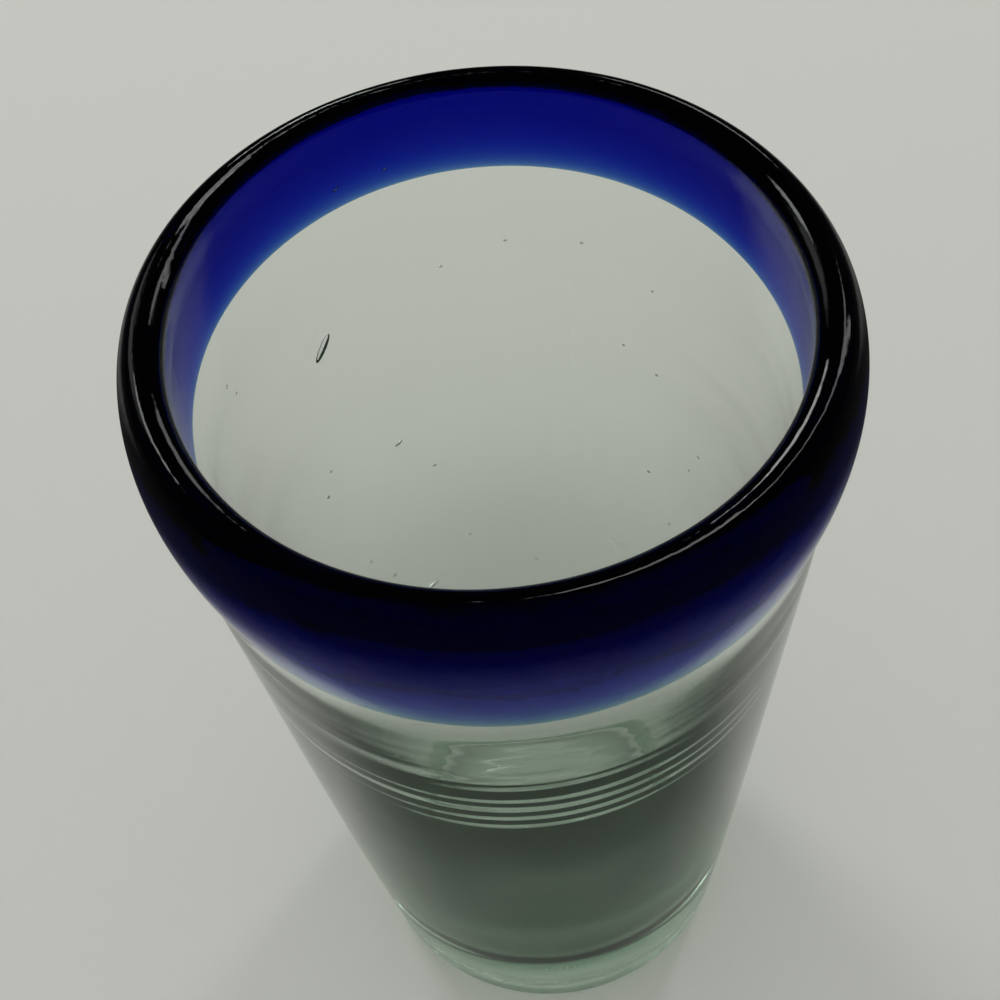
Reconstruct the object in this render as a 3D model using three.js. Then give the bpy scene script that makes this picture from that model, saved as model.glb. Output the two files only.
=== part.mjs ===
import * as THREE from 'three';

// A hand-blown drinking tumbler of pale green recycled glass with a cobalt blue lip.
// Millimetres, +Z up. The tumbler stands on z = 0 and its axis is the Z axis.

// The lip, which is a rolled bead of cobalt glass
const height = 154.3;         // table to the crown of the lip
const rimDiameter = 89;       // widest place, on the outside of the bead
const beadOutside = 3.9;      // crown out to the widest place
const beadInside = 2.7;       // crown in to the narrowest place of the mouth
const beadDrop = 8.9;         // crown down to the widest place
const mouthDrop = 2.1;        // crown down to the narrowest place
const throatDrop = 5;         // narrowest place down to the tip of the clear glass inside

// The cobalt band and its joint with the clear glass
const bandDepth = 18.8;       // crown down to the lower edge of the band, on average
const bandDip = 2.3;          // the edge is this much lower in front and higher behind
const scarfBite = 1.6;        // how far the edge of the band cuts in level
const blendHeight = 40;       // length of wall below the band that follows its slant

// The blown wall, even down to the gather line and thicker from there to the base
const neckInset = 1.9;        // widest place in to the taper of the wall under the band
const flareDrop = 6;          // edge of the band down to where the outside flares
const neckWall = 5;           // thickness above the gather line
const gatherDrop = 25.3;      // edge of the band down to the gather line
const gatherBlend = 4;        // softness of the change there
const footDiameter = 67.6;    // outside, at the widest place of the heel
const footWall = 10.8;        // thickness where the wall leaves the base
const sideSwell = 0.4;        // how far the side swells past a straight taper
const oval = 0.65;            // the mouth is this much longer front to back, narrower across

// The solid base
const heelHeight = 5.4;       // table up to the widest place of the heel
const heelInset = 3.1;        // widest place in to the flat ring that the glass stands on
const ringWidth = 9.5;        // width of the flat ring
const floorHeight = 13;       // table to the inside floor
const cornerHeight = 14;      // rise of the rounded inside corner
const cornerReach = 16;       // its width, from the wall to the flat of the floor
const kickHeight = 3.6;       // depth of the hollow inside the ring, on the axis

// The scar left in the hollow by the iron that held the glass
const scarDiameter = 17;
const scarMargin = 3;         // its edge in to its broken ridge
const scarDrop = 1.2;         // how far the ridge hangs below the hollow
const scarEdge = 0.4;         // thickness elsewhere

// Fineness of the facets
const turnSteps = 72;
const wallSteps = 8;
const sideSteps = 2;
const arcSteps = 4;

// Levels and radii that neighbours share
const widest = height - beadDrop;
const mouthLevel = height - mouthDrop;
const throatFoot = mouthLevel - throatDrop;
const bandEdge = height - bandDepth;
const flareFoot = bandEdge - flareDrop;
const gatherLine = bandEdge - gatherDrop;
const wallFoot = floorHeight + cornerHeight;
const rimRadius = rimDiameter / 2;
const crownRadius = rimRadius - beadOutside;
const mouthRadius = crownRadius - beadInside;
const neckRadius = rimRadius - neckInset;
const footRadius = footDiameter / 2;
const restRadius = footRadius - heelInset;
const kickRadius = restRadius - ringWidth;
const scarRadius = scarDiameter / 2;

// Slope of a radius with height, for curves that leave the wall smoothly
function slope(radius, z) {
  return radius(z + 0.5) - radius(z - 0.5);
}

// A radius that leaves a wall smoothly at one height and stands upright at another
function easeTo(wall, fromZ, toZ, toRadius, z) {
  const span = toZ - fromZ;
  const s = (z - fromZ) / span;
  const start = wall(fromZ);
  const lead = slope(wall, fromZ) * span * s * (1 - s) ** 2;
  return start + (toRadius - start) * s * s * (3 - 2 * s) + lead;
}

// Outside of the wall: a straight taper with a gentle swell
function taperRadius(z) {
  const t = (z - heelHeight) / (bandEdge - heelHeight);
  const taper = footRadius + (neckRadius - footRadius) * t;
  return taper + sideSwell * 4 * t * (1 - t);
}

// Outside all the way up: the taper flares to the widest place of the lip
function outsideRadius(z) {
  if (z <= flareFoot) return taperRadius(z);
  return easeTo(taperRadius, flareFoot, widest, rimRadius, z);
}

// Inside of the wall: the taper less a thickness that grows below the gather line
function boreRadius(z) {
  const below = gatherLine - z;
  const gathered = (below + Math.hypot(below, gatherBlend)) / 2;
  const grown = gathered / (gatherLine - wallFoot);
  return taperRadius(z) - neckWall - (footWall - neckWall) * grown;
}

// Inside of the lip: the bore turns in to the narrowest place of the mouth
function throatRadius(z) {
  return easeTo(boreRadius, throatFoot, mouthLevel, mouthRadius, z);
}

// Hollow under the base: a shallow dome from the flat ring up to the axis
function hollowHeight(r) {
  return kickHeight * (1 - (r / kickRadius) ** 2);
}

// Places on the cut through the glass that two pieces share
const bandPoint = new THREE.Vector2(outsideRadius(bandEdge), bandEdge);
const scarfPoint = new THREE.Vector2(boreRadius(throatFoot), throatFoot);
const footOutside = new THREE.Vector2(outsideRadius(wallFoot), wallFoot);
const footInside = new THREE.Vector2(boreRadius(wallFoot), wallFoot);

// Joint of the two glasses: level at the edge of the band, then up to the tip of the clear glass
const scarf = new THREE.QuadraticBezierCurve(
  bandPoint, new THREE.Vector2(bandPoint.x - scarfBite, bandEdge), scarfPoint,
).getPoints(2 * arcSteps);

// Points of the cut along a radius that is a function of height
function followWall(radius, fromZ, toZ, steps) {
  return Array.from({ length: steps + 1 }, (_, i) => {
    const z = fromZ + (toZ - fromZ) * i / steps;
    return new THREE.Vector2(radius(z), z);
  });
}

// Points of the cut along the hollow, from one radius to another
function followHollow(fromR, toR) {
  return Array.from({ length: arcSteps + 1 }, (_, i) => {
    const r = fromR + (toR - fromR) * i / arcSteps;
    return new THREE.Vector2(r, hollowHeight(r));
  });
}

// Turns a cut through the glass about the Z axis, without repeated points
function revolve(cut) {
  const points = cut.filter((p, i) => i === 0 || p.distanceTo(cut[i - 1]) > 1e-6);
  const geometry = new THREE.LatheGeometry(points, turnSteps);
  return geometry.rotateX(Math.PI / 2);
}

// Turns the faces of a piece outward whose cut was followed the other way round
function turnOut(geometry) {
  const corners = geometry.index.array;
  for (let i = 0; i < corners.length; i += 3) {
    [corners[i], corners[i + 1]] = [corners[i + 1], corners[i]];
  }
  return geometry;
}

// Made by hand: the mouth is a little oval, and the glass round the band follows its slant
function handMade(geometry) {
  const position = geometry.attributes.position;
  for (let i = 0; i < position.count; i += 1) {
    const [x, y, z] = [position.getX(i), position.getY(i), position.getZ(i)];
    const above = THREE.MathUtils.smoothstep(z, throatFoot, height);
    const below = THREE.MathUtils.smoothstep(bandEdge - z, 0, blendHeight);
    const lean = bandDip * y / rimRadius * (1 - above) * (1 - below);
    const grown = THREE.MathUtils.smoothstep(z, wallFoot, bandEdge);
    const stretch = 1 - oval * Math.cos(2 * Math.atan2(y, x)) * grown / Math.hypot(x, y);
    position.setXYZ(i, x * stretch, y * stretch, z + lean);
  }
  geometry.computeVertexNormals();
  return geometry;
}

// Cobalt lip: along the joint, inside up to the mouth, over the crown, outside down again.
// The joint runs the same way as in the clear wall, so that the facets of both agree.
function cobaltRim() {
  const bead = new THREE.Path();
  bead.absellipse(crownRadius, mouthLevel, beadInside, mouthDrop, Math.PI, Math.PI / 2, true);
  bead.absellipse(crownRadius, widest, beadOutside, beadDrop, Math.PI / 2, 0, true);
  return turnOut(handMade(revolve([
    ...scarf, ...followWall(throatRadius, throatFoot, mouthLevel, arcSteps),
    ...bead.getPoints(arcSteps), ...followWall(outsideRadius, widest, bandEdge, arcSteps),
  ])));
}

// Clear wall: outside up from the base to the band, along the joint, inside down again
function clearWall() {
  const overGather = gatherLine + 2 * gatherBlend;
  const underGather = gatherLine - 2 * gatherBlend;
  return handMade(revolve([
    ...followWall(outsideRadius, wallFoot, flareFoot, wallSteps),
    ...followWall(outsideRadius, flareFoot, bandEdge, sideSteps), ...scarf,
    ...followWall(boreRadius, throatFoot, overGather, sideSteps),
    ...followWall(boreRadius, overGather, underGather, arcSteps),
    ...followWall(boreRadius, underGather, wallFoot, wallSteps), footOutside,
  ]));
}

// Solid base: hollow, flat ring, round heel, short outside, seat of the wall, floor
function heavyBase() {
  const cut = new THREE.Path();
  cut.moveTo(kickRadius, 0);
  cut.lineTo(restRadius, 0);
  const heel = outsideRadius(heelHeight);
  const rise = slope(outsideRadius, heelHeight);
  cut.bezierCurveTo(
    restRadius + (heel - restRadius) / 2, 0,
    heel - rise * heelHeight / 2, heelHeight / 2,
    heel, heelHeight,
  );
  const side = followWall(outsideRadius, heelHeight, wallFoot, sideSteps);
  const floor = new THREE.Path();
  floor.moveTo(footInside.x, footInside.y);
  floor.quadraticCurveTo(
    footInside.x - slope(boreRadius, wallFoot) * cornerHeight, floorHeight,
    footInside.x - cornerReach, floorHeight,
  );
  const axis = new THREE.Vector2(0, floorHeight);
  return revolve([
    ...followHollow(0, scarRadius), ...followHollow(scarRadius, kickRadius),
    ...cut.getPoints(arcSteps), ...side, footOutside, ...floor.getPoints(arcSteps), axis,
  ]);
}

// Scar: a wad of glass against the hollow, with a broken ridge
function pontilScar() {
  const ridge = scarRadius - scarMargin;
  const under = new THREE.Path();
  under.moveTo(0, hollowHeight(0) - scarEdge);
  under.quadraticCurveTo(
    ridge / 2, hollowHeight(ridge / 2) - scarEdge,
    ridge, hollowHeight(ridge) - scarDrop,
  );
  under.lineTo(scarRadius, hollowHeight(scarRadius) - scarEdge);
  return revolve([...under.getPoints(arcSteps), ...followHollow(scarRadius, 0)]);
}

function piece(name, geometry, color, roughness) {
  const material = new THREE.MeshStandardMaterial({ color, roughness, metalness: 0 });
  material.transparent = true;
  const mesh = new THREE.Mesh(geometry, material);
  mesh.name = name;
  return mesh;
}

const tumbler = new THREE.Group();
tumbler.add(
  piece('cobalt_rim', cobaltRim(), 0x0a1560, 0.06),
  piece('clear_wall', clearWall(), 0xb9c4b6, 0.05),
  piece('heavy_base', heavyBase(), 0x7d8f7c, 0.06),
  piece('pontil_scar', pontilScar(), 0xa8b5a4, 0.5),
);

export default tumbler;
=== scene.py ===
import math
import random
import bmesh
import bpy
from mathutils import Matrix, Vector


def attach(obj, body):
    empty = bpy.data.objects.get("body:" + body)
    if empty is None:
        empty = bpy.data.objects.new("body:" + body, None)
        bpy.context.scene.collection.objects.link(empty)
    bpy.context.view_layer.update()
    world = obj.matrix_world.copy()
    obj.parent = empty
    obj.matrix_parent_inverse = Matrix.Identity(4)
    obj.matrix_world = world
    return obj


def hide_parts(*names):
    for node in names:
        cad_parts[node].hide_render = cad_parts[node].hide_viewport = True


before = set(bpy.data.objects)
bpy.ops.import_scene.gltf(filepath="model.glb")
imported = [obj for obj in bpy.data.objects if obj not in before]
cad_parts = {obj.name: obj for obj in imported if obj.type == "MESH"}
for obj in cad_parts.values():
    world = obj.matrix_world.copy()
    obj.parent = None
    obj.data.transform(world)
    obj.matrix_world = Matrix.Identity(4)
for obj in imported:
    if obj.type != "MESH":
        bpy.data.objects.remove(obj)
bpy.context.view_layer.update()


# Clear body: pale green recycled glass, gathered and blown in one go. The wall keeps
# an even thickness down to the gather line, then thickens to a solid base with a
# hollow underside. Its top is drawn out to a tongue that runs up inside the lip.
height = 0.1543
rim_radius = 0.0445
bead_drop = 0.0089
mouth_drop = 0.0021
throat_drop = 0.005
band_depth = 0.0188
band_dip = 0.0023
scarf_bite = 0.0016
blend_height = 0.040
neck_inset = 0.0019
flare_drop = 0.006
neck_wall = 0.005
gather_drop = 0.0253
gather_blend = 0.004
foot_radius = 0.0338
foot_wall = 0.0108
side_swell = 0.0004
oval = 0.0007
oval_turn = math.radians(99.8)
heel_height = 0.0054
heel_inset = 0.0031
ring_width = 0.0095
floor_height = 0.013
corner_height = 0.014
corner_reach = 0.016
kick_height = 0.0036
widest = height - bead_drop
mouth_level = height - mouth_drop
throat_foot = mouth_level - throat_drop
band_edge = height - band_depth
flare_foot = band_edge - flare_drop
gather_line = band_edge - gather_drop
wall_foot = floor_height + corner_height
rest_radius = foot_radius - heel_inset
kick_radius = rest_radius - ring_width
side_lean = (rim_radius - neck_inset - foot_radius) / (band_edge - heel_height)
crisp = 0.00003
same_place = 1e-7
probe = 0.0005


def slope(radius, z):
    return (radius(z + probe) - radius(z - probe)) / (2 * probe)


def ease_to(wall, from_z, to_z, to_radius, z):
    # Leaves a wall smoothly at one height and stands upright at another
    span = to_z - from_z
    s = (z - from_z) / span
    start = wall(from_z)
    lead = slope(wall, from_z) * span * s * (1 - s) ** 2
    return start + (to_radius - start) * s * s * (3 - 2 * s) + lead


def taper_radius(z):
    t = (z - heel_height) / (band_edge - heel_height)
    taper = foot_radius + (rim_radius - neck_inset - foot_radius) * t
    return taper + side_swell * 4 * t * (1 - t)


def outside_radius(z):
    # The taper flares to the widest place of the lip
    if z <= flare_foot:
        return taper_radius(z)
    return ease_to(taper_radius, flare_foot, widest, rim_radius, z)


def bore_radius(z):
    # The taper less a thickness that grows below the gather line
    below = gather_line - z
    gathered = (below + math.hypot(below, gather_blend)) / 2
    grown = gathered / (gather_line - wall_foot)
    return taper_radius(z) - neck_wall - (foot_wall - neck_wall) * grown


def hollow_height(r):
    return kick_height * (1 - (r / kick_radius) ** 2)


def wall_run(radius, start, end, steps):
    heights = [start + (end - start) * i / steps for i in range(steps + 1)]
    return [(radius(z), z) for z in heights]


def hollow_run(inner, outer, steps):
    radii = [inner + (outer - inner) * i / steps for i in range(steps + 1)]
    return [(r, hollow_height(r)) for r in radii]


def straight_run(start, end, steps):
    return [tuple(a + (b - a) * i / steps for a, b in zip(start, end)) for i in range(steps + 1)]


def bezier_run(a, b, c, d, steps):
    points = []
    for i in range(steps + 1):
        t = i / steps
        s = 1 - t
        points.append(tuple(s ** 3 * p + 3 * s * s * t * q + 3 * s * t * t * u + t ** 3 * v
                            for p, q, u, v in zip(a, b, c, d)))
    return points


def bow_run(start, pull, end, steps):
    # A curve with one handle
    lead = [p + (q - p) * 2 / 3 for p, q in zip(start, pull)]
    tail = [p + (q - p) * 2 / 3 for p, q in zip(end, pull)]
    return bezier_run(start, lead, tail, end, steps)


def joined(*runs):
    # One cut through the glass, without repeated points
    cut = []
    for run in runs:
        for point in run:
            if not cut or math.dist(point, cut[-1]) > same_place:
                cut.append(tuple(point))
    return cut


def towards(point, other, distance):
    share = distance / math.dist(point, other)
    return tuple(a + (b - a) * share for a, b in zip(point, other))


def corner(before, point, after):
    # A crisp corner: two close rows beside it keep the shading of its two sides apart
    return [towards(point, before, crisp), point, towards(point, after, crisp)]


band_point = (outside_radius(band_edge), band_edge)
scarf_point = (bore_radius(throat_foot), throat_foot)
scarf_run = bow_run(band_point, (band_point[0] - scarf_bite, band_edge), scarf_point, steps=24)
heel_point = (outside_radius(heel_height), heel_height)
heel_rise = slope(outside_radius, heel_height)
heel_run = bezier_run(
    (rest_radius, 0.0), (rest_radius + (heel_point[0] - rest_radius) / 2, 0.0),
    (heel_point[0] - heel_rise * heel_height / 2, heel_height / 2), heel_point, steps=14)
foot_inside = (bore_radius(wall_foot), wall_foot)
corner_pull = (foot_inside[0] - slope(bore_radius, wall_foot) * corner_height, floor_height)
floor_edge = (foot_inside[0] - corner_reach, floor_height)
outer_wall = wall_run(outside_radius, heel_height, band_edge, steps=140)
inner_wall = wall_run(bore_radius, throat_foot, wall_foot, steps=140)
body_cut = joined(
    hollow_run(0.0, kick_radius, steps=10),
    straight_run((kick_radius, 0.0), (rest_radius, 0.0), steps=4),
    heel_run, outer_wall[:-1], corner(outer_wall[-2], band_point, scarf_run[1]),
    scarf_run[1:-1], corner(scarf_run[-2], scarf_point, inner_wall[1]),
    inner_wall[1:], bow_run(foot_inside, corner_pull, floor_edge, steps=28),
    straight_run(floor_edge, (0.0, floor_height), steps=8))


def node(tree, kind, **settings):
    made = tree.nodes.new(kind)
    for key, value in settings.items():
        setattr(made, key, value)
    return made


def wire(tree, target, source):
    # A number goes in as the socket's value, anything else as a link
    if isinstance(source, (int, float, tuple, str)):
        target.default_value = source
    else:
        tree.links.new(source, target)


def figure(tree, operation, first, second=0.0, third=None):
    made = node(tree, "ShaderNodeMath", operation=operation)
    wire(tree, made.inputs[0], first)
    wire(tree, made.inputs[1], second)
    if third is not None:
        wire(tree, made.inputs[2], third)
    return made.outputs[0]


def times(tree, first, second):
    return figure(tree, "MULTIPLY", first, second)


def times_plus(tree, first, second, base):
    return figure(tree, "MULTIPLY_ADD", first, second, base)


def rest_of(tree, share):
    return figure(tree, "SUBTRACT", 1.0, share)


def smooth_step(tree, value, low, high):
    made = node(tree, "ShaderNodeMapRange", interpolation_type="SMOOTHSTEP")
    wire(tree, made.inputs["Value"], value)
    wire(tree, made.inputs["From Min"], low)
    wire(tree, made.inputs["From Max"], high)
    return made.outputs["Result"]


def spot_at(tree, x, y, z):
    made = node(tree, "ShaderNodeCombineXYZ")
    for target, source in zip(made.inputs, (x, y, z)):
        wire(tree, target, source)
    return made.outputs[0]


def noise_at(tree, spot, drift, detail):
    # Smooth random waves between about -0.5 and 0.5
    made = node(tree, "ShaderNodeTexNoise", noise_dimensions="4D")
    wire(tree, made.inputs["Vector"], spot)
    wire(tree, made.inputs["W"], drift)
    wire(tree, made.inputs["Scale"], 1.0)
    wire(tree, made.inputs["Detail"], detail)
    return figure(tree, "SUBTRACT", made.outputs[0], 0.5)


def open_tree(name, sockets):
    # A tree with named inputs and one output, the finished piece
    tree = bpy.data.node_groups.new(name, "GeometryNodeTree")
    for socket, kind in sockets.items():
        tree.interface.new_socket(socket, in_out="INPUT", socket_type="NodeSocket" + kind)
    tree.interface.new_socket("Piece", in_out="OUTPUT", socket_type="NodeSocketGeometry")
    return tree, node(tree, "NodeGroupInput").outputs


def close_tree(tree, shape, glass):
    real = node(tree, "GeometryNodeRealizeInstances")
    wire(tree, real.inputs[0], shape)
    coated = node(tree, "GeometryNodeSetMaterial")
    wire(tree, coated.inputs["Geometry"], real.outputs[0])
    wire(tree, coated.inputs["Material"], glass)
    wire(tree, node(tree, "NodeGroupOutput").inputs["Piece"], coated.outputs[0])


def stored(tree, shape, name, kind, domain, value):
    made = node(tree, "GeometryNodeStoreNamedAttribute", data_type=kind, domain=domain)
    wire(tree, made.inputs["Geometry"], shape)
    wire(tree, made.inputs["Name"], name)
    wire(tree, made.inputs["Value"], value)
    return made.outputs["Geometry"]


# Waves in the glass, counted along a metre of height, and how far each wanders round it
ripples_per_metre, ripple_wander = 170.0, 0.55
rings_per_metre, ring_wander = 560.0, 0.4
sways_per_metre, sway_wander = 12.0, 0.9
lumps_per_metre = 110.0
inside_drift = 9.0
calm_share = 0.1
lively_from = gather_line - 0.02
lump_top = wall_foot + 0.01
ring_middle = gather_line - 0.008
ring_spread = 0.0095
worn_from, worn_to = gather_line - 0.045, gather_line - 0.015
scuff_from, scuff_to = 0.0008, 0.0045
lip_calm = 0.012
floor_slack = 0.001
weld = 2e-6


def turned_glass_tree():
    # Turns a cut through the glass about the upright axis, gives it the unevenness of
    # hand blowing, and lets the glass round the lip follow the band's slant
    tree, given = open_tree("turned_glass", {
        "Cut": "Geometry", "Turn Steps": "Int", "Ripple Depth": "Float", "Ring Depth": "Float",
        "Lump Depth": "Float", "Sway": "Float", "Oval": "Float", "Oval Turn": "Float",
        "Seed": "Float", "Joint From": "Float", "Joint To": "Float", "Joint Bulge": "Float",
        "Glass": "Material"})
    rows = node(tree, "GeometryNodeAttributeDomainSize", component="MESH")
    wire(tree, rows.inputs["Geometry"], given["Cut"])
    row_count = rows.outputs["Point Count"]
    sheet = node(tree, "GeometryNodeMeshGrid")
    wire(tree, sheet.inputs["Size X"], 1.0)
    wire(tree, sheet.inputs["Size Y"], 1.0)
    wire(tree, sheet.inputs["Vertices X"], figure(tree, "ADD", given["Turn Steps"], 1.0))
    wire(tree, sheet.inputs["Vertices Y"], row_count)
    here = node(tree, "GeometryNodeInputPosition").outputs[0]
    place = node(tree, "ShaderNodeSeparateXYZ")
    wire(tree, place.inputs[0], here)
    angle = times(tree, figure(tree, "ADD", place.outputs["X"], 0.5), math.tau)
    row = times(tree, figure(tree, "ADD", place.outputs["Y"], 0.5),
                figure(tree, "SUBTRACT", row_count, 1.0))
    in_joint = times(tree, figure(tree, "GREATER_THAN", row, given["Joint From"]),
                     figure(tree, "LESS_THAN", row, given["Joint To"]))
    marked = stored(tree, sheet.outputs["Mesh"], "joint", "BOOLEAN", "FACE", in_joint)
    pick = node(tree, "GeometryNodeSampleIndex", data_type="FLOAT_VECTOR", domain="POINT")
    wire(tree, pick.inputs["Geometry"], given["Cut"])
    wire(tree, pick.inputs["Value"], here)
    wire(tree, pick.inputs["Index"], figure(tree, "ROUND", row))
    on_cut = node(tree, "ShaderNodeSeparateXYZ")
    wire(tree, on_cut.inputs[0], pick.outputs["Value"])
    radius, tall = on_cut.outputs["X"], on_cut.outputs["Z"]
    turned_x = figure(tree, "COSINE", angle)
    turned_y = figure(tree, "SINE", angle)

    def round_spot(wander, waves):
        # Where a wave is read: slowly round the glass, quickly along its height
        return spot_at(tree, times(tree, turned_x, wander), times(tree, turned_y, wander),
                       times(tree, tall, waves))

    # What is uneven: not the axis, the foot or the lip
    above_foot = smooth_step(tree, tall, low=0.006, high=0.03)
    off_axis = smooth_step(tree, radius, low=0.005, high=0.02)
    below_lip = rest_of(tree, smooth_step(tree, tall, band_edge - lip_calm, band_edge))
    half_way = foot_radius - heel_height * side_lean - neck_wall / 2
    inside = figure(tree, "LESS_THAN", radius, times_plus(tree, tall, side_lean, half_way))
    inside = times(tree, inside, figure(tree, "GREATER_THAN", tall, floor_height - floor_slack))
    in_front = smooth_step(tree, times(tree, turned_y, -1.0), low=-0.2, high=0.6)

    # Ripples: rings that wander a little round the glass, different inside and outside
    drift = times_plus(tree, inside, inside_drift, given["Seed"])
    ripple_spot = round_spot(ripple_wander, ripples_per_metre)
    uneven = times(tree, noise_at(tree, ripple_spot, drift, detail=2.0), given["Ripple Depth"])
    lively = smooth_step(tree, tall, lively_from, gather_line)
    lively = times_plus(tree, lively, 1.0 - calm_share, calm_share)
    uneven = times(tree, uneven, times(tree, above_foot, lively))

    # Rings: close tool marks inside the wall, below the gather line
    from_rings = figure(tree, "DIVIDE", figure(tree, "SUBTRACT", tall, ring_middle), ring_spread)
    fade = figure(tree, "EXPONENT", times(tree, times(tree, from_rings, from_rings), -1.0))
    fade = times(tree, fade, times(tree, inside, in_front))
    ring_spot = round_spot(ring_wander, rings_per_metre)
    rings = times(tree, fade, noise_at(tree, ring_spot, drift, detail=0.0))
    uneven = times_plus(tree, rings, given["Ring Depth"], uneven)

    # Lumps: the inside floor is uneven
    lump_spot = spot_at(tree, *(times(tree, along, lumps_per_metre) for along in (
        times(tree, radius, turned_x), times(tree, radius, turned_y), tall)))
    low_down = rest_of(tree, smooth_step(tree, tall, floor_height, lump_top))
    lumps = times(tree, noise_at(tree, lump_spot, given["Seed"], detail=1.0), given["Lump Depth"])
    lumps = times(tree, lumps, times(tree, inside, low_down))
    uneven = figure(tree, "ADD", uneven, lumps)
    uneven = times(tree, uneven, times(tree, below_lip, off_axis))

    # Joint: the lap of the cobalt is thinner in front
    share = figure(tree, "DIVIDE", figure(tree, "SUBTRACT", row, given["Joint From"]),
                   figure(tree, "SUBTRACT", given["Joint To"], given["Joint From"]))
    bow = times(tree, share, figure(tree, "SUBTRACT", 4.0, times(tree, share, 4.0)))
    bow = figure(tree, "POWER", figure(tree, "MAXIMUM", bow, 0.0), 2.0)
    uneven = times_plus(tree, times(tree, bow, given["Joint Bulge"]), in_front, uneven)

    # Sway: slow unevenness of wall and lip
    sway_spot = round_spot(sway_wander, sways_per_metre)
    sway = times(tree, noise_at(tree, sway_spot, given["Seed"], detail=2.0), given["Sway"])
    uneven = times_plus(tree, sway, times(tree, above_foot, off_axis), uneven)

    # Oval: the mouth is a little longer one way, the foot is round
    doubled = times(tree, figure(tree, "SUBTRACT", angle, given["Oval Turn"]), 2.0)
    stretch = times(tree, figure(tree, "COSINE", doubled), given["Oval"])
    uneven = times_plus(tree, stretch, smooth_step(tree, tall, wall_foot, band_edge), uneven)
    blown = figure(tree, "ADD", radius, uneven)

    # Slant: the band is lower in front
    over = rest_of(tree, smooth_step(tree, tall, throat_foot, height))
    under = smooth_step(tree, tall, band_edge - blend_height, band_edge)
    lean = times(tree, times(tree, radius, turned_y), band_dip / rim_radius)
    lean = times(tree, lean, times(tree, over, under))

    # Haze: the inside is dull with wear below the rings, and the underside is scuffed
    worn = rest_of(tree, smooth_step(tree, tall, worn_from, worn_to))
    scuffed = rest_of(tree, smooth_step(tree, tall, scuff_from, scuff_to))
    dulled = stored(tree, marked, "haze", "FLOAT", "POINT",
                    times_plus(tree, worn, inside, scuffed))
    put = node(tree, "GeometryNodeSetPosition")
    wire(tree, put.inputs["Geometry"], dulled)
    wire(tree, put.inputs["Position"], spot_at(
        tree, times(tree, blown, turned_x), times(tree, blown, turned_y),
        figure(tree, "ADD", figure(tree, "ADD", tall, lumps), lean)))
    shut = node(tree, "GeometryNodeMergeByDistance")
    wire(tree, shut.inputs["Geometry"], put.outputs["Geometry"])
    wire(tree, shut.inputs["Distance"], weld)
    soften = node(tree, "GeometryNodeSetShadeSmooth")
    wire(tree, soften.inputs["Geometry"], shut.outputs["Geometry"])
    close_tree(tree, soften.outputs[0], given["Glass"])
    return tree


turned_glass = turned_glass_tree()


def finished(name, worker, tree, settings):
    # Runs the tree on a worker object and keeps the result as a plain closed mesh
    modifier = worker.modifiers.new("make", "NODES")
    modifier.node_group = tree
    sockets = {s.name: s.identifier for s in tree.interface.items_tree if s.in_out == "INPUT"}
    for key, value in settings.items():
        modifier[sockets[key]] = value
    evaluated = worker.evaluated_get(bpy.context.evaluated_depsgraph_get())
    mesh = bpy.data.meshes.new_from_object(evaluated)
    mesh.name = name
    worker.modifiers.remove(modifier)
    bpy.data.objects.remove(worker)
    piece = bpy.data.objects.new(name, mesh)
    bpy.context.scene.collection.objects.link(piece)
    return piece


def faces_out(piece):
    shell = bmesh.new()
    shell.from_mesh(piece.data)
    bmesh.ops.recalc_face_normals(shell, faces=shell.faces)
    shell.to_mesh(piece.data)
    shell.free()


def point_object(name, points, edges=()):
    mesh = bpy.data.meshes.new(name)
    mesh.from_pydata(points, edges, [])
    worker = bpy.data.objects.new(name, mesh)
    bpy.context.scene.collection.objects.link(worker)
    return worker


def turned_piece(name, cut, joint_from, joint_to, glass):
    edges = [(i, i + 1) for i in range(len(cut) - 1)]
    worker = point_object(name + "_cut", [(r, 0.0, z) for r, z in cut], edges)
    piece = finished(name, worker, turned_glass, {
        "Turn Steps": 240, "Ripple Depth": 0.00012, "Ring Depth": 0.0008, "Lump Depth": 0.0006,
        "Sway": 0.0005, "Oval": oval, "Oval Turn": oval_turn, "Seed": 3.0,
        "Joint From": float(joint_from), "Joint To": float(joint_to), "Joint Bulge": 0.0009,
        "Glass": glass})
    faces_out(piece)
    return piece


glass_ior = 1.52
wave_scale, wave_detail, wave_height = 140.0, 3.0, 0.0004
touch_scale, touch_detail, touch_rough = 60.0, 5.0, 0.05
touch_from, touch_to = 0.45, 0.8
haze_rough = 0.24


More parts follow.
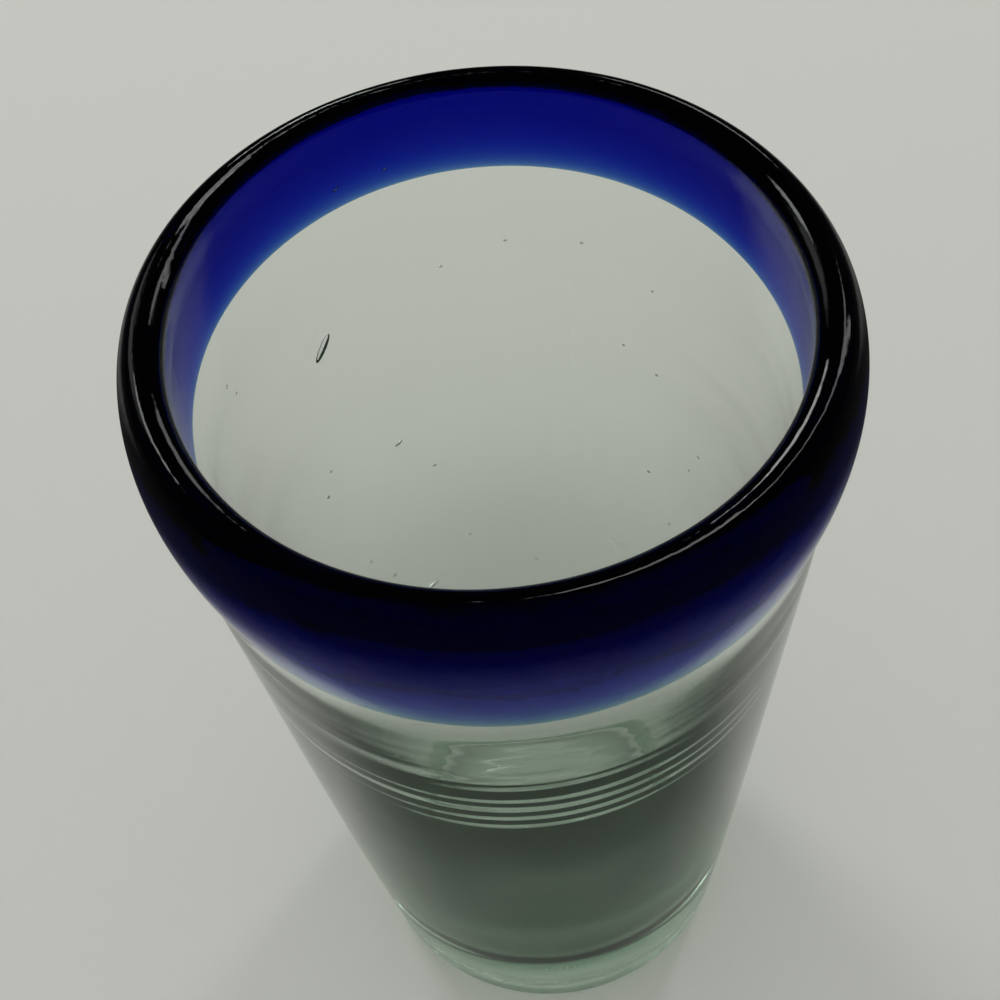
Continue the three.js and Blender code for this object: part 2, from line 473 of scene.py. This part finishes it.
def glass_finish(name, tint, depth_colour, density, waviness):
    # Fire-polished glass: clear skin with faint waves and a trace of handling, coloured
    # through its depth. Where it is fused to the other glass, light goes straight on.
    finish = bpy.data.materials.new(name)
    finish.use_nodes = True
    tree = finish.node_tree
    skin = tree.nodes["Principled BSDF"]
    skin.inputs["Base Color"].default_value = tint
    skin.inputs["Transmission Weight"].default_value = 1.0
    skin.inputs["IOR"].default_value = glass_ior
    fused = node(tree, "ShaderNodeAttribute", attribute_name="joint").outputs["Fac"]
    wire(tree, skin.inputs["IOR"], times_plus(tree, fused, 1.0 - glass_ior, glass_ior))
    spot = node(tree, "ShaderNodeTexCoord").outputs["Object"]
    waves = node(tree, "ShaderNodeTexNoise")
    wire(tree, waves.inputs["Vector"], spot)
    wire(tree, waves.inputs["Scale"], wave_scale)
    wire(tree, waves.inputs["Detail"], wave_detail)
    lift = node(tree, "ShaderNodeBump")
    wire(tree, lift.inputs["Strength"], waviness)
    wire(tree, lift.inputs["Distance"], wave_height)
    wire(tree, lift.inputs["Height"], waves.outputs[0])
    wire(tree, skin.inputs["Normal"], lift.outputs[0])
    touches = node(tree, "ShaderNodeTexNoise")
    wire(tree, touches.inputs["Vector"], spot)
    wire(tree, touches.inputs["Scale"], touch_scale)
    wire(tree, touches.inputs["Detail"], touch_detail)
    smear = node(tree, "ShaderNodeMapRange")
    wire(tree, smear.inputs["Value"], touches.outputs[0])
    wire(tree, smear.inputs["From Min"], touch_from)
    wire(tree, smear.inputs["From Max"], touch_to)
    wire(tree, smear.inputs["To Max"], touch_rough)
    haze = node(tree, "ShaderNodeAttribute", attribute_name="haze").outputs["Fac"]
    rough = times_plus(tree, haze, haze_rough, smear.outputs[0])
    wire(tree, skin.inputs["Roughness"], times(tree, rough, rest_of(tree, fused)))
    depth = node(tree, "ShaderNodeVolumeAbsorption")
    depth.inputs["Color"].default_value = depth_colour
    depth.inputs["Density"].default_value = density
    wire(tree, tree.nodes["Material Output"].inputs["Volume"], depth.outputs[0])
    return finish


green_glass = glass_finish("green_glass", tint=(0.99, 0.995, 0.985, 1.0),
                           depth_colour=(0.53, 0.69, 0.56, 1.0), density=34.0, waviness=0.03)
clear_body = turned_piece("clear_body", body_cut, body_cut.index(band_point),
                          body_cut.index(scarf_point), green_glass)


# Seeds: small air bubbles caught in the clear glass as it was gathered, some drawn out
# by the blowing. They are cavities, so they become part of the clear body's mesh, with
# their faces turned into the air.
def seed_tree():
    # A round cavity on each spot, drawn out along the spot's own direction
    tree, given = open_tree("seeds", {"Spots": "Geometry", "Roundness": "Int", "Glass": "Material"})
    ball = node(tree, "GeometryNodeMeshIcoSphere")
    wire(tree, ball.inputs["Radius"], 1.0)
    wire(tree, ball.inputs["Subdivisions"], given["Roundness"])
    turned_in = node(tree, "GeometryNodeFlipFaces")
    wire(tree, turned_in.inputs["Mesh"], ball.outputs["Mesh"])
    soften = node(tree, "GeometryNodeSetShadeSmooth")
    wire(tree, soften.inputs["Geometry"], turned_in.outputs["Mesh"])
    along = node(tree, "GeometryNodeInputNamedAttribute", data_type="FLOAT_VECTOR")
    wire(tree, along.inputs["Name"], "along")
    across = node(tree, "GeometryNodeInputNamedAttribute", data_type="FLOAT")
    wire(tree, across.inputs["Name"], "across")
    half_length = node(tree, "ShaderNodeVectorMath", operation="LENGTH")
    wire(tree, half_length.inputs[0], along.outputs["Attribute"])
    point_way = node(tree, "FunctionNodeAlignRotationToVector", axis="Z")
    wire(tree, point_way.inputs["Vector"], along.outputs["Attribute"])
    put = node(tree, "GeometryNodeInstanceOnPoints")
    wire(tree, put.inputs["Points"], given["Spots"])
    wire(tree, put.inputs["Instance"], soften.outputs[0])
    wire(tree, put.inputs["Rotation"], point_way.outputs["Rotation"])
    wire(tree, put.inputs["Scale"], spot_at(
        tree, across.outputs["Attribute"], across.outputs["Attribute"],
        half_length.outputs["Value"]))
    close_tree(tree, put.outputs[0], given["Glass"])
    return tree


def seed_at(turn, level, length, width, tilt, share=0.5):
    # A share of the way through the wall from inside; turn and tilt in degrees, tilt up to
    # the right seen from inside
    turn, tilt = math.radians(turn), math.radians(tilt)
    out = Vector((math.cos(turn), math.sin(turn), 0.0))
    round_the_wall = Vector((math.sin(turn), -math.cos(turn), 0.0))
    way = round_the_wall * math.cos(tilt) + Vector((0.0, 0.0, math.sin(tilt)))
    middle = bore_radius(level) + (outside_radius(level) - bore_radius(level)) * share
    return out * middle + Vector((0.0, 0.0, level)), way * (length / 2), width / 2


seeds = [
    seed_at(turn=130.0, level=0.118, length=0.005, width=0.0014, tilt=45.0),
    seed_at(turn=118.0, level=0.091, length=0.0016, width=0.0006, tilt=20.0),
    seed_at(turn=121.0, level=0.0545, length=0.0035, width=0.0007, tilt=10.0),
    seed_at(turn=117.5, level=0.143, length=0.0012, width=0.0006, tilt=30.0, share=0.2),
    seed_at(turn=106.5, level=0.143, length=0.0009, width=0.0005, tilt=20.0, share=0.2)]
speck_count = 26
speck_width = (0.0003, 0.0005)
speck_turn = (20.0, 160.0)
speck_level = (0.035, 0.13)
speck_stretch = (1.0, 2.0)
speck_tilt = (-20.0, 40.0)
chance = random.Random(11)
for _ in range(speck_count):
    speck = chance.uniform(*speck_width)
    seeds.append(seed_at(turn=chance.uniform(*speck_turn), level=chance.uniform(*speck_level),
                         length=speck * chance.uniform(*speck_stretch), width=speck,
                         tilt=chance.uniform(*speck_tilt)))
seed_spots = point_object("seed_spots", [place for place, _, _ in seeds])
seed_spots.data.attributes.new("along", "FLOAT_VECTOR", "POINT")
seed_spots.data.attributes.new("across", "FLOAT", "POINT")
for i, (_, half, wide) in enumerate(seeds):
    seed_spots.data.attributes["along"].data[i].vector = half
    seed_spots.data.attributes["across"].data[i].value = wide
seed_cavities = finished("seed_cavities", seed_spots, seed_tree(),
                         {"Roundness": 3, "Glass": green_glass})
with_seeds = bmesh.new()
with_seeds.from_mesh(clear_body.data)
with_seeds.from_mesh(seed_cavities.data)
with_seeds.to_mesh(clear_body.data)
with_seeds.free()
bpy.data.objects.remove(seed_cavities)
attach(clear_body, "root")
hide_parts("clear_wall", "heavy_base")


# Cobalt lip: a coil of deep blue glass laid hot on the open end of the wall and
# melted to a round bead. It laps over the tongue of the clear glass and is fused to
# it, with a blunt lower edge that runs aslant round the tumbler.
bead_outside = 0.0039
bead_inside = 0.0027
crown_radius = rim_radius - bead_outside
mouth_radius = crown_radius - bead_inside
hair = 0.00002


def ellipse_run(centre, radii, start, end, steps):
    angles = [start + (end - start) * i / steps for i in range(steps + 1)]
    return [(centre[0] + radii[0] * math.cos(a), centre[1] + radii[1] * math.sin(a)) for a in angles]


def throat_radius(z):
    # The bore turns in to the narrowest place of the mouth
    return ease_to(bore_radius, throat_foot, mouth_level, mouth_radius, z)


lip_outside = wall_run(outside_radius, band_edge, widest, steps=40)
lip_inside = wall_run(throat_radius, mouth_level, throat_foot, steps=24)
lip_seat = [(r + hair, z + hair) for r, z in reversed(scarf_run[1:-1])]
lip_cut = joined(
    [band_point, towards(band_point, lip_outside[1], crisp)], lip_outside[1:],
    ellipse_run((crown_radius, widest), (bead_outside, bead_drop), 0.0, math.pi / 2, steps=32),
    ellipse_run((crown_radius, mouth_level), (bead_inside, mouth_drop), math.pi / 2, math.pi, steps=24),
    lip_inside[:-1], corner(lip_inside[-2], scarf_point, lip_seat[0]), lip_seat,
    [towards(band_point, lip_seat[-1], crisp), band_point])
cobalt_glass = glass_finish("cobalt_glass", tint=(0.3, 0.55, 0.65, 1.0),
                            depth_colour=(0.16, 0.351, 0.905, 1.0), density=1310.0, waviness=0.35)
cobalt_lip = turned_piece("cobalt_lip", lip_cut, lip_cut.index(scarf_point), len(lip_cut) - 1,
                          cobalt_glass)
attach(cobalt_lip, "root")
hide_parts("cobalt_rim")


# Pontil scar: the broken wad of glass where the iron held the tumbler, rough to the
# touch, up in the hollow of the base and clear of the table.
broken_glass = glass_finish("broken_glass", tint=(0.9, 0.95, 0.91, 1.0),
                            depth_colour=(0.6, 0.8, 0.65, 1.0), density=30.0, waviness=0.8)
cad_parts["pontil_scar"].data.materials.clear()
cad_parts["pontil_scar"].data.materials.append(broken_glass)


# Floor: plain, pale and matt, with a painted shadow just behind the tumbler and a painted pool of light
# under its base. Rays that the glass mirrors or leads round see the floor painted dim in most places,
# painted shade as in a room that is dark in front.
floor_reach = 2.5
floor_level = -0.0002
floor_paint = (0.61, 0.608, 0.578)
floor_rough, floor_gloss = 0.9, 0.1
# The dark colour painted on the floor for mirrored and led rays: painted shade
mirror_shade_paint = (0.02, 0.02, 0.02, 1.0)
# Painted shadow behind the tumbler and painted light under its base
painted_shade_behind, painted_light_below = 0.2, 0.45
front_shown, beside_shown, behind_shown = 0.32, 0.6, 0.3
least_shown, past_left_shown, past_right_shown, lapped_shown = 0.1, 0.6, 0.4, 0.7
led_shade, led_shade_near = 0.52, 0.34
pale_floor = bpy.data.materials.new("pale_floor")
pale_floor.use_nodes = True
floor_tree = pale_floor.node_tree
floor_skin = floor_tree.nodes["Principled BSDF"]
wire(floor_tree, floor_skin.inputs["Roughness"], floor_rough)
wire(floor_tree, floor_skin.inputs["Specular IOR Level"], floor_gloss)
floor_spot = node(floor_tree, "ShaderNodeSeparateXYZ")
wire(floor_tree, floor_spot.inputs[0], node(floor_tree, "ShaderNodeTexCoord").outputs["Object"])
floor_x, floor_y = floor_spot.outputs["X"], floor_spot.outputs["Y"]


def near_floor(y, full, none):
    # One close to a place on the middle line of the floor, falling to nothing farther off
    off = figure(floor_tree, "SUBTRACT", floor_y, y)
    away = figure(floor_tree, "SQRT", times_plus(
        floor_tree, floor_x, floor_x, times(floor_tree, off, off)))
    return rest_of(floor_tree, smooth_step(floor_tree, away, full, none))


def more_than(tree, whole, bounces):
    # Whether a ray has more than a whole number of bounces of one kind behind it
    return figure(tree, "GREATER_THAN", bounces, whole + 0.5)


# How much of the floor is left free of painted shade for a ray that the outside of the glass mirrors
beside = times(floor_tree, near_floor(y=0.0, full=0.07, none=0.13),
               smooth_step(floor_tree, floor_y, low=-0.05, high=0.0))
behind = times(floor_tree, smooth_step(floor_tree, floor_y, low=0.12, high=0.2),
               near_floor(y=0.0, full=0.3, none=0.6))
shown = times(floor_tree, near_floor(y=-0.04, full=0.1, none=0.19), front_shown)
shown = times_plus(floor_tree, beside, beside_shown, shown)
shown = times_plus(floor_tree, behind, behind_shown, shown)
# How much is left free of painted shade for a ray that has come through the glass, or through both
# glasses at the lap
floor_path = node(floor_tree, "ShaderNodeLightPath").outputs
through = more_than(floor_tree, 0, floor_path["Transmission Depth"])
lapped = more_than(floor_tree, 2, floor_path["Transmission Depth"])
past = times(floor_tree, smooth_step(floor_tree, floor_y, low=0.08, high=0.12),
             rest_of(floor_tree, smooth_step(floor_tree, floor_y, low=0.14, high=0.17)))
to_right = smooth_step(floor_tree, floor_x, low=-0.04, high=0.04)
past_shown = times_plus(floor_tree, to_right, past_right_shown - past_left_shown, past_left_shown)
shown_through = times_plus(floor_tree, past_shown, past, least_shown)
shown_through = times_plus(floor_tree, lapped, lapped_shown, shown_through)
shown_through = figure(floor_tree, "MINIMUM", shown_through, 1.0)
more = figure(floor_tree, "SUBTRACT", shown_through, shown)
shown = times_plus(floor_tree, through, more, shown)
# Mirrored rays see the floor painted dim: painted shade
mirrored = figure(floor_tree, "COMPARE", floor_path["Glossy Depth"], 1.0, 0.5)
dimmed = times(floor_tree, mirrored, rest_of(floor_tree, shown))
# How much painted shade a ray sees on the floor after it is led along inside the glass
led = more_than(floor_tree, 1, floor_path["Glossy Depth"])
led_shade_share = times_plus(floor_tree, near_floor(y=0.0, full=0.06, none=0.1), led_shade_near, led_shade)
dimmed = times_plus(floor_tree, led, led_shade_share, dimmed)
# Painted shadow on the floor just behind the tumbler, and a painted pool of light under its base in
# place of light the glass gathers there
painted_light_and_shade = times_plus(floor_tree, near_floor(y=0.05, full=0.01, none=0.06), -painted_shade_behind, 1.0)
painted_light_and_shade = times_plus(floor_tree, near_floor(y=0.0, full=0.022, none=0.034), painted_light_below, painted_light_and_shade)
paint = node(floor_tree, "ShaderNodeVectorMath", operation="SCALE")
paint.inputs[0].default_value = floor_paint
wire(floor_tree, paint.inputs["Scale"], painted_light_and_shade)
floor_colour = node(floor_tree, "ShaderNodeMix", data_type="RGBA")
wire(floor_tree, floor_colour.inputs["Factor"], dimmed)
wire(floor_tree, floor_colour.inputs["A"], paint.outputs["Vector"])
floor_colour.inputs["B"].default_value = mirror_shade_paint
wire(floor_tree, floor_skin.inputs["Base Color"], floor_colour.outputs["Result"])
floor_mesh = bpy.data.meshes.new("floor")
floor_mesh.from_pydata(
    [(-floor_reach, -floor_reach, floor_level), (floor_reach, -floor_reach, floor_level),
     (floor_reach, floor_reach, floor_level), (-floor_reach, floor_reach, floor_level)],
    [], [(0, 1, 2, 3)])
floor_mesh.materials.append(pale_floor)
floor = bpy.data.objects.new("floor", floor_mesh)
bpy.context.scene.collection.objects.link(floor)


# Light: soft even daylight and two broad panes behind the tumbler, which only give
# light. A mirrored ray sees a dark room with a few small windows and two narrow gaps,
# which draw the lines of light along the lip.
lamp_distance = 1.3
lamp_aim = Vector((0.0, 0.0, 0.1))
daylight = 0.66
focused_light = 0.8
dark_room = 0.01
gap_core, gap_edge, gap_end = 1.25, 3.75, 2.0
day_colour = (0.98, 1.0, 0.97, 1.0)


def way_to(turn, rise):
    # Direction to a light: turn to the right from straight behind, and rise, in degrees
    turn, rise = math.radians(turn), math.radians(rise)
    return Vector((math.sin(turn) * math.cos(rise), math.cos(turn) * math.cos(rise), math.sin(rise)))


def bright_pane(name, turn, rise, size, watts):
    light = bpy.data.lights.new(name, "AREA")
    light.shape = "RECTANGLE"
    light.size, light.size_y = size
    light.energy = watts
    pane = bpy.data.objects.new(name, light)
    way = way_to(turn, rise)
    pane.location = lamp_aim + way * lamp_distance
    pane.rotation_euler = (-way).to_track_quat("-Z", "Y").to_euler()
    pane.visible_glossy = False
    bpy.context.scene.collection.objects.link(pane)


bright_pane("pane_left", turn=-31.0, rise=46.0, size=(0.3, 0.3), watts=3.0)
bright_pane("pane_right", turn=38.0, rise=40.0, size=(0.14, 0.3), watts=2.0)
sky = bpy.data.worlds.new("sky")
sky.use_nodes = True
sky_tree = sky.node_tree
looking = node(sky_tree, "ShaderNodeTexCoord").outputs["Generated"]


def nearness(way):
    made = node(sky_tree, "ShaderNodeVectorMath", operation="DOT_PRODUCT")
    wire(sky_tree, made.inputs[0], looking)
    made.inputs[1].default_value = way
    return made.outputs["Value"]


def window_glow(turn, rise, core, edge):
    # A small soft window: full inside its core, nothing past its edge
    return smooth_step(sky_tree, nearness(way_to(turn, rise)),
                       math.cos(math.radians(edge)), math.cos(math.radians(core)))


def window_gap(start, end):
    # A narrow bright gap between two places of the sky
    start, end = way_to(*start), way_to(*end)
    off = figure(sky_tree, "ABSOLUTE", nearness(start.cross(end).normalized()))
    narrow = rest_of(sky_tree, smooth_step(
        sky_tree, off, math.sin(math.radians(gap_core)), math.sin(math.radians(gap_edge))))
    half_length = start.angle(end) / 2
    between = smooth_step(sky_tree, nearness((start + end).normalized()),
                          math.cos(half_length + math.radians(gap_end)), math.cos(half_length))
    return times(sky_tree, narrow, between)


glow = dark_room
for turn, rise, core, edge, strength in (
        (-38.0, 44.0, 3.0, 7.0, 3.0), (-9.0, 30.0, 3.0, 6.0, 5.0), (17.0, 27.0, 4.0, 8.0, 1.5),
        (37.0, 42.0, 2.0, 6.0, 1.5), (-40.0, 28.0, 4.0, 14.0, 0.45)):
    glow = times_plus(sky_tree, window_glow(turn, rise, core, edge), strength, glow)
for start, end, strength in (
        ((4.0, 53.0), (25.0, 59.0), 2.4), ((25.0, 59.0), (58.0, 23.0), 1.7)):
    glow = times_plus(sky_tree, window_gap(start, end), strength, glow)
sky_path = node(sky_tree, "ShaderNodeLightPath").outputs
depths = figure(sky_tree, "ADD", sky_path["Diffuse Depth"], sky_path["Transmission Depth"])
in_mirror = times(sky_tree, more_than(sky_tree, 0, sky_path["Glossy Depth"]),
                  rest_of(sky_tree, more_than(sky_tree, 0, depths)))
glow = times_plus(sky_tree, in_mirror, figure(sky_tree, "SUBTRACT", glow, daylight), daylight)
# Light that the glass gathers on the floor round it
focused = times(sky_tree, sky_path["Is Transmission Ray"], sky_path["Diffuse Depth"])
glow = times_plus(sky_tree, focused, focused_light, glow)
sky_tree.nodes["Background"].inputs["Color"].default_value = day_colour
wire(sky_tree, sky_tree.nodes["Background"].inputs["Strength"], glow)
bpy.context.scene.world = sky
bpy.context.scene.view_settings.view_transform = "Standard"
glass_bounces = 32
bpy.context.scene.cycles.max_bounces = glass_bounces
bpy.context.scene.cycles.transmission_bounces = glass_bounces
bpy.context.scene.cycles.glossy_bounces = glass_bounces


# Eye: above and in front, looking down into the mouth of the tumbler, with the camera
# rolled a little so that the glass leans in the picture.
picture_side = 1000
focal_pixels = 1378.1
principal_pixel = (497.9, 481.9)
film_width = 36.0
nearest = 0.01
eye = Vector((0.0, -0.11166, 0.26667))
look_down = math.radians(52.947)
turn_right = -0.0089
roll = -0.1314
ahead = Vector((math.sin(turn_right) * math.cos(look_down),
                math.cos(turn_right) * math.cos(look_down), -math.sin(look_down)))
level = Vector((math.cos(turn_right), -math.sin(turn_right), 0.0))
upright = level.cross(ahead)
across = level * math.cos(roll) + upright * math.sin(roll)
above = upright * math.cos(roll) - level * math.sin(roll)
lens = bpy.data.cameras.new("eye_lens")
lens.sensor_width = film_width
lens.lens = film_width * focal_pixels / picture_side
lens.shift_x = (picture_side / 2 - principal_pixel[0]) / picture_side
lens.shift_y = (principal_pixel[1] - picture_side / 2) / picture_side
lens.clip_start = nearest
camera = bpy.data.objects.new("eye", lens)
camera.matrix_world = Matrix((
    (across.x, above.x, -ahead.x, eye.x),
    (across.y, above.y, -ahead.y, eye.y),
    (across.z, above.z, -ahead.z, eye.z),
    (0.0, 0.0, 0.0, 1.0)))
bpy.context.scene.collection.objects.link(camera)
bpy.context.scene.camera = camera
